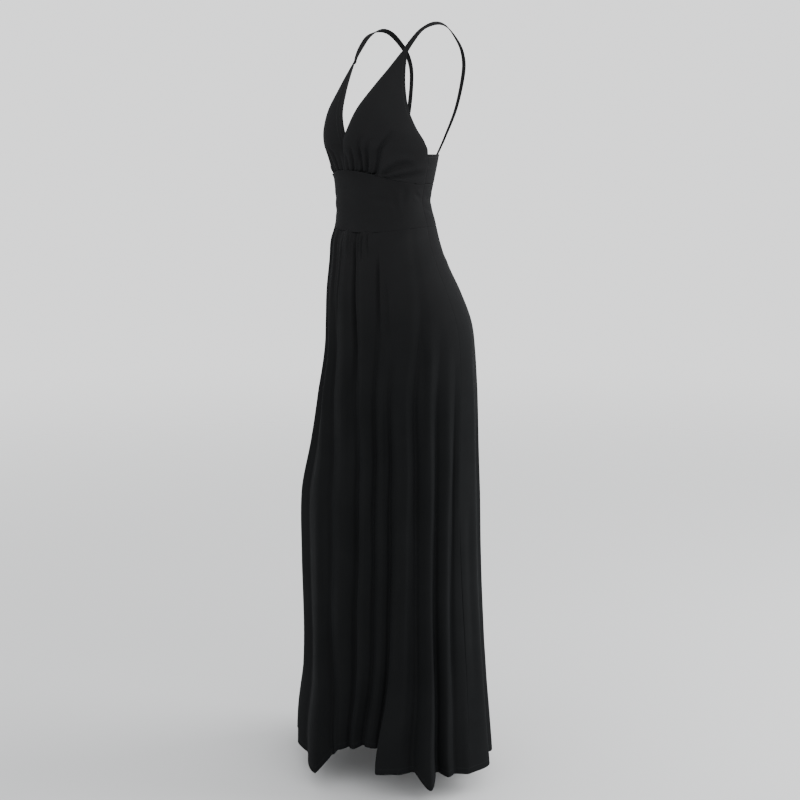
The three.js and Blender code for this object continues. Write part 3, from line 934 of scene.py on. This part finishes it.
class DRESS_OT_bands(bpy.types.Operator):
    """Adds the back panel of the bodice and the two halves of the midriff band"""
    bl_idname = "dress.bands"
    bl_label = "Back panel and midriff"

    def execute(self, context):
        sizes, colours = settings()
        back = 360 - SIDE_SEAM
        rows = (
            ("bodice_back", SIDE_SEAM, back, lambda a: BACK_TOP + 0 * a, underbust, BODICE_BACK_CREASES,
             "bodice_cloth", "crepe, bodice back", 1.1, (0.33, 0.055), 0.0172, 54.0, "midriff_back"),
            ("midriff_front", -SIDE_SEAM, SIDE_SEAM, underbust, waist, MIDRIFF_CREASES,
             "midriff_cloth", "crepe, midriff", 1.0, (0.36, 0.117), 0.0352, 98.0, "skirt_front"),
            ("midriff_back", SIDE_SEAM, back, underbust, waist, MIDRIFF_BACK_CREASES,
             "midriff_cloth", "crepe, midriff", 1.0, (0.31, 0.081), 0.0241, 80.0, "skirt_back"),
        )
        # The number after each material name scales that piece's colour: painted light, making the bodice
        # back lighter than the midriff
        for name, start, stop, top, bottom, creases, slot, look, painted_light_scale, flat, area, tall, under in rows:
            grid_u, grid_v = np.meshgrid(stations(170, 350.0), stations(52, tall))
            points, angle = band_points(grid_u, grid_v, start, stop, top, bottom)
            across, down = travel(points, 1), travel(points, 0)
            sides = np.minimum(across, across[:, -1:] - across)
            free, sewn = down, down[-1:] - down
            if name != "bodice_back":
                free, sewn = down + FAR, np.minimum(sewn, down)
            push = edge_push(sizes, free, (sewn, 0.6), (sides, 0.35))
            push -= crease_depth(creases, angle, points[..., 2], TRUNK_RADIUS) * sizes.crease_depth
            points = points + face_out(points) * push[..., None]
            if start > 0:
                points, free = lapped(points), np.pad(free, ((0, 0), (1, 1)), mode="edge")
            material = cloth_material(look, colours, painted_light_scale, 0.006, False)
            piece = cloth(name + "_cloth", points, name, slot, material, sizes.cloth_thick, free)
        return {"FINISHED"}


class DRESS_OT_skirt(bpy.types.Operator):
    """Adds the front and back of the flared skirt"""
    bl_idname = "dress.skirt"
    bl_label = "Skirt"

    def execute(self, context):
        sizes, colours = settings()
        rows = (
            ("skirt_front", FRONT_FOLDS, FRONT_CREASES, 12, (0.86, 1.1), 0.68),
            ("skirt_back", BACK_FOLDS, BACK_CREASES, 15, (0.72, 1.09), 0.55),
        )
        for name, folds, creases, fine, flat, area in rows:
            last = len(folds["waist"]) - 1
            near = np.array([0.0, 0.02, 0.06])
            inner = np.linspace(0, last, last * fine + 1)[1:-1]
            f = np.concatenate([near, inner, last - near[::-1]])
            grid_f, grid_v = np.meshgrid(f, stations(150, 1060.0))
            points, turn = skirt_points(folds, grid_f, grid_v)
            across, down = travel(points, 1), travel(points, 0)
            sides = np.minimum(across, across[:, -1:] - across)
            free = down[-1:] - down
            push = edge_push(sizes, free, (down, 0.5), (sides, 0.2))
            push -= valley_depth(folds, grid_f, points[..., 2]) * sizes.crease_depth
            push -= crease_depth(creases, turn, points[..., 2], SKIRT_RADIUS) * sizes.crease_depth
            points = tucked(points + face_out(points) * push[..., None], True)
            free = np.concatenate([free[:1], free])
            # The last colour is painted shade for the lower skirt
            material = cloth_material("crepe, skirt", colours, 0.98, 0.012, False, (0.705, 0.735, 0.74))
            piece = cloth(name + "_cloth", points, name, "skirt_cloth", material, sizes.cloth_thick, free)
        return {"FINISHED"}


class DRESS_OT_straps(bpy.types.Operator):
    """Adds the two doubled straps, each a flat band with round edges carried along its centre line"""
    bl_idname = "dress.straps"
    bl_label = "Straps"

    def execute(self, context):
        sizes, colours = settings()
        for name, side in (("strap_left", "left"), ("strap_right", "right")):
            shape = self.band(sizes, side)
            if side == "right":
                shape = mirrored(shape)
            piece = mesh_object(name + "_cloth", shape, closed=True)
            self.close_ends(piece, shape.shape[1])
            vertex_values(piece, "edge", np.ones(len(piece.data.vertices)))
            piece.data.materials.append(cloth_material("crepe, strap", colours, 1.1, 0.006, True))
            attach(piece, "root")
            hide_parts(name)
        return {"FINISHED"}

    @staticmethod
    def band(sizes, side):
        """Grid of the left strap, or of the right one before it is mirrored: at each place along the line an
        oblong of the strap's width across its facing, rounded by powers of the cosine and the sine, which
        shrinks to a fifth over the last stretch at both ends."""
        t = np.linspace(0, 1, 181)
        line = np.stack([along(STRAP, key, t) for key in "xyz"], -1)
        run = np.gradient(line, axis=0)
        run /= np.linalg.norm(run, axis=-1, keepdims=True)
        facing = np.stack([along(STRAP, key, t) for key in (side, "ny", "nz")], -1)
        facing -= (facing * run).sum(-1, keepdims=True) * run
        facing /= np.linalg.norm(facing, axis=-1, keepdims=True)
        wide = np.cross(run, facing)
        turn = np.linspace(0, 2 * math.pi, 33)[:-1]
        c, s = np.cos(turn), np.sin(turn)
        flat_c = np.sign(c) * np.abs(c) ** STRAP_SIDES
        flat_s = np.sign(s) * np.abs(s) ** STRAP_FACES
        close = np.sqrt(np.clip(np.minimum(t, 1 - t) / STRAP_CLOSE, 0.04, 1))[:, None]
        half = mix(sizes.strap_front, sizes.strap_back, t)[:, None] * close * MM / 2
        thick = sizes.strap_thick * close * MM / 2
        return (line[:, None] + wide[:, None] * (half * flat_c)[..., None]
                + facing[:, None] * (thick * flat_s)[..., None])

    @staticmethod
    def close_ends(piece, around):
        """Closes both ends of the band, which has this many places around, with one face each."""
        mesh = piece.data
        total = len(mesh.vertices)
        uv = mesh.uv_layers[0]
        old = np.empty(len(mesh.loops) * 2, dtype=np.float32)
        uv.data.foreach_get("uv", old)
        verts = [tuple(v.co) for v in mesh.vertices]
        faces = [tuple(p.vertices) for p in mesh.polygons]
        faces.append(tuple(range(around)))
        faces.append(tuple(range(total - 1, total - around - 1, -1)))
        mesh.clear_geometry()
        mesh.from_pydata(verts, [], faces)
        layer = mesh.uv_layers[0] if mesh.uv_layers else mesh.uv_layers.new(name="cloth")
        fresh = np.zeros(len(mesh.loops) * 2, dtype=np.float32)
        fresh[:len(old)] = old
        layer.data.foreach_set("uv", fresh)
        mesh.polygons.foreach_set("use_smooth", np.ones(len(mesh.polygons), dtype=bool))


class DRESS_OT_stage(bpy.types.Operator):
    """Adds the floor, the studio light and the camera"""
    bl_idname = "dress.stage"
    bl_label = "Floor, light and camera"

    def execute(self, context):
        sizes, colours = settings()
        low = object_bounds()[0].z - sizes.floor_drop
        side = 9.0
        mesh = bpy.data.meshes.new("floor")
        mesh.from_pydata([(-side, -side, low), (side, -side, low), (side, side, low), (-side, side, low)], [],
                         [(0, 1, 2, 3)])
        floor = bpy.data.objects.new("floor", mesh)
        context.scene.collection.objects.link(floor)
        floor.data.materials.append(self.floor_material(colours))
        floor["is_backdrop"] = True
        world = context.scene.world or bpy.data.worlds.new("studio")
        context.scene.world = world
        world.use_nodes = True
        sky = world.node_tree.nodes.get("Background") or world.node_tree.nodes.new("ShaderNodeBackground")
        sky.inputs["Color"].default_value = (*colours.backdrop, 1.0)
        sky.inputs["Strength"].default_value = 1.0
        self.camera(context)
        across, ahead = self.directions()[:2]
        up = Vector((0, 0, 1))
        aim = Vector((0, 0, -0.75))
        self.lamp(context, "side_light", across * 2.8 + ahead * 0.2 + up * 0.5, aim, 2.2, 110)
        self.lamp(context, "front_light", across * 1.2 - ahead * 2.4 + up * 1.6, aim, 2.4, 25)
        return {"FINISHED"}

    @staticmethod
    def directions():
        """Camera's right, level forward, forward and up at the photograph's angle."""
        azimuth, pitch = math.radians(AZIMUTH), math.radians(PITCH)
        across = Vector((math.cos(azimuth), math.sin(azimuth), 0))
        ahead = Vector((-math.sin(azimuth), math.cos(azimuth), 0))
        high = Vector((0, 0, 1))
        forward = ahead * math.cos(pitch) - high * math.sin(pitch)
        up = ahead * math.sin(pitch) + high * math.cos(pitch)
        return across, ahead, forward, up

    def camera(self, context):
        """Adds the camera and makes it the scene's own."""
        across, ahead, forward, up = self.directions()
        data = bpy.data.cameras.new("camera")
        data.lens = 64.0
        data.sensor_width = 36.0
        data.clip_end = 60.0
        camera = bpy.data.objects.new("camera", data)
        camera.matrix_world = Matrix((across, up, -forward)).transposed().to_4x4()
        camera.location = Vector((0, 0, CAMERA_HIGH)) - ahead * CAMERA_AWAY - across * CAMERA_LEFT
        context.scene.collection.objects.link(camera)
        context.scene.camera = camera

    @staticmethod
    def lamp(context, name, place, aim, size, power):
        """Adds a round soft light at a place, turned to what it aims at."""
        data = bpy.data.lights.new(name, "AREA")
        data.shape = "DISK"
        data.size = size
        data.energy = power
        lamp = bpy.data.objects.new(name, data)
        lamp.location = place
        lamp.rotation_euler = (aim - Vector(place)).to_track_quat("-Z", "Y").to_euler()
        context.scene.collection.objects.link(lamp)

    @staticmethod
    def floor_material(colours):
        """Pale floor whose colour drifts slowly and which fades out with the distance from the dress."""
        made = bpy.data.materials.new("pale floor")
        made.use_nodes = True
        tree = made.node_tree
        surface = tree.nodes["Principled BSDF"]
        out = tree.nodes["Material Output"]
        place = tree.nodes.new("ShaderNodeTexCoord")
        noise = node(tree, "ShaderNodeTexNoise", {"Scale": 1.2, "Detail": 3.0})
        darker = np.array(colours.floor) * 0.97
        tone = node(tree, "ShaderNodeMix", {"A": (*darker, 1.0), "B": (*colours.floor, 1.0)},
                    data_type="RGBA")
        join(tree, [
            (place, "Object", noise, "Vector"),
            (noise, "Fac", tone, "Factor"),
            (tone, "Result", surface, "Base Color"),
        ])
        surface.inputs["Roughness"].default_value = 0.9
        surface.inputs["Specular IOR Level"].default_value = 0.1
        flat = node(tree, "ShaderNodeVectorMath", {1: (1.0, 1.0, 0.0)}, operation="MULTIPLY")
        away = node(tree, "ShaderNodeVectorMath", operation="LENGTH")
        fade = node(tree, "ShaderNodeMapRange", {"From Min": 0.6, "From Max": 6.0},
                    interpolation_type="SMOOTHSTEP")
        clear = tree.nodes.new("ShaderNodeBsdfTransparent")
        both = tree.nodes.new("ShaderNodeMixShader")
        join(tree, [
            (place, "Object", flat, 0),
            (flat, 0, away, 0),
            (away, "Value", fade, "Value"),
            (fade, 0, both, "Fac"),
            (surface, "BSDF", both, 1),
            (clear, "BSDF", both, 2),
            (both, "Shader", out, "Surface"),
        ])
        return made


class DRESS_PT_panel(bpy.types.Panel):
    """Lists the dress's sizes, colours and pieces"""
    bl_idname = "DRESS_PT_panel"
    bl_label = "Maxi dress"
    bl_space_type = "VIEW_3D"
    bl_region_type = "UI"
    bl_category = "Dress"

    def draw(self, context):
        for group in (context.scene.dress_sizes, context.scene.dress_colours):
            box = self.layout.box()
            for key in group.bl_rna.properties.keys():
                if key not in ("rna_type", "name"):
                    box.prop(group, key)
        for made in STEPS:
            self.layout.operator(made.bl_idname)


STEPS = (DRESS_OT_cups, DRESS_OT_bands, DRESS_OT_skirt, DRESS_OT_straps, DRESS_OT_stage)
CLASSES = (DressSizes, DressColours, *STEPS, DRESS_PT_panel)


def register():
    for made in CLASSES:
        bpy.utils.register_class(made)
    bpy.types.Scene.dress_sizes = bpy.props.PointerProperty(type=DressSizes)
    bpy.types.Scene.dress_colours = bpy.props.PointerProperty(type=DressColours)


def unregister():
    del bpy.types.Scene.dress_colours
    del bpy.types.Scene.dress_sizes
    for made in reversed(CLASSES):
        bpy.utils.unregister_class(made)


def main():
    register()
    bpy.ops.dress.cups()
    bpy.ops.dress.bands()
    bpy.ops.dress.skirt()
    bpy.ops.dress.straps()
    bpy.ops.dress.stage()


if __name__ == "__main__":
    main()
